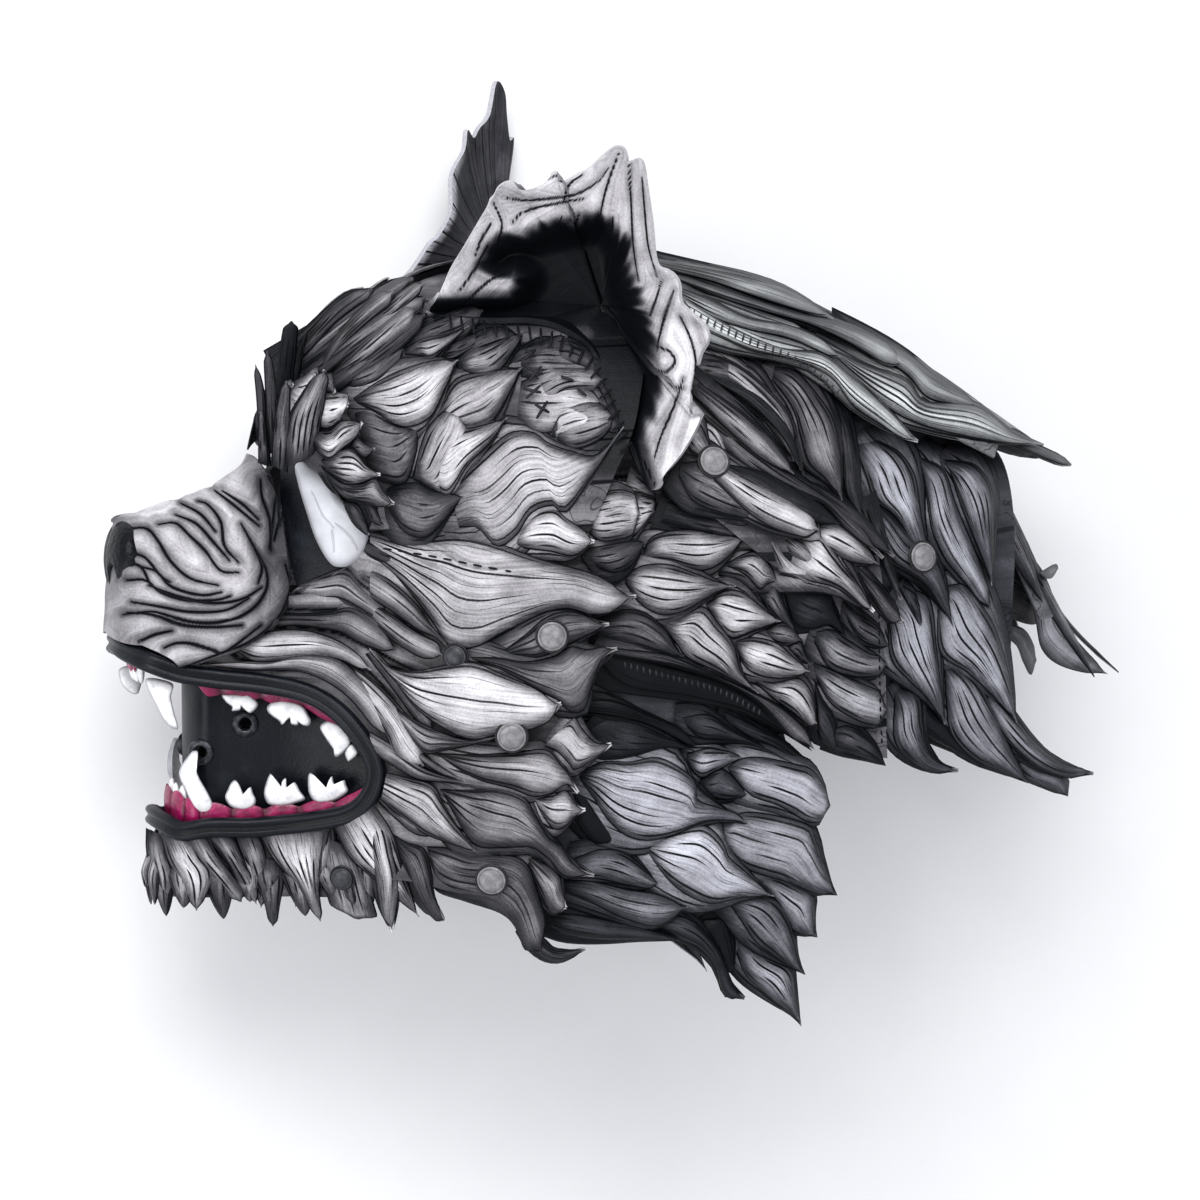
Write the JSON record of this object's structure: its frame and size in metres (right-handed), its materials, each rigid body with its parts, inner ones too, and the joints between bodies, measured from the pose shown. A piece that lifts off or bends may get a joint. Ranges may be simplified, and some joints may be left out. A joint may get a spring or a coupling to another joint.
{
  "type": "animal mask",
  "caption": "Full-head wolf-like mask of layered leather, with carved fur locks, an open fanged mouth, upright ears and a shaggy mane, lying on its side.",
  "frame": {"origin": "middle of the bounding box's bottom face, on the ground under the mask as it lies on its right side", "axes": "+X from the nose to the tail of the mane, +Y from the throat to the crown, +Z from the right cheek on the ground up to the left cheek"},
  "size_m": [0.5194, 0.4656, 0.2439],
  "materials": {
    "fur_leather": "carved and wet-formed veg-tan leather, painted light grey and shaded nearly black in the cuts",
    "black_leather": "black leather with a satin finish",
    "nose_leather": "black pebbled leather, waxed",
    "gum": "crimson painted leather, semi-gloss",
    "tooth": "white painted leather, matt, with grey shading in the cuts",
    "eye": "pearly white leather, satin",
    "snap_cap": "snap caps painted over with the leather",
    "black_snap": "black snap caps, satin",
    "eyelet": "blackened eyelets"
  },
  "bodies": {
    "root": {"muzzle": "fur_leather", "nose_pad": "nose_leather", "lip_welt": "black_leather", "chin": "fur_leather", "inner_muzzle": "black_leather", "eyelet_1": "eyelet", "eyelet_2": "eyelet", "eyelet_3": "eyelet", "eyelet_4": "eyelet", "upper_gum": "gum", "lower_gum": "gum", "upper_incisors": "tooth", "lower_incisors": "tooth", "upper_fang_left": "tooth", "upper_cheek_tooth_1_left": "tooth", "upper_cheek_tooth_2_left": "tooth", "upper_cheek_tooth_3_left": "tooth", "lower_fang_left": "tooth", "lower_cheek_tooth_1_left": "tooth", "lower_cheek_tooth_2_left": "tooth", "lower_cheek_tooth_3_left": "tooth", "upper_fang_right": "tooth", "upper_cheek_tooth_1_right": "tooth", "upper_cheek_tooth_2_right": "tooth", "upper_cheek_tooth_3_right": "tooth", "lower_fang_right": "tooth", "lower_cheek_tooth_1_right": "tooth", "lower_cheek_tooth_2_right": "tooth", "lower_cheek_tooth_3_right": "tooth", "forehead": "fur_leather", "crest": "fur_leather", "nape": "fur_leather", "cheek_left": "fur_leather", "side_neck_left": "fur_leather", "side_mane_left": "fur_leather", "flank_left": "fur_leather", "back_mane_left": "fur_leather", "throat_left": "fur_leather", "eye_socket_left": "black_leather", "eye_left": "eye", "brow_left": "fur_leather", "ear_left": "fur_leather", "cheek_right": "fur_leather", "side_neck_right": "fur_leather", "side_mane_right": "fur_leather", "flank_right": "fur_leather", "back_mane_right": "fur_leather", "throat_right": "fur_leather", "eye_socket_right": "black_leather", "eye_right": "eye", "brow_right": "fur_leather", "ear_right": "fur_leather", "snap_1": "black_snap", "snap_2": "snap_cap", "snap_3": "snap_cap", "snap_4": "snap_cap", "snap_5": "black_snap", "snap_6": "snap_cap", "snap_7": "snap_cap"}
  },
  "joints": []
}
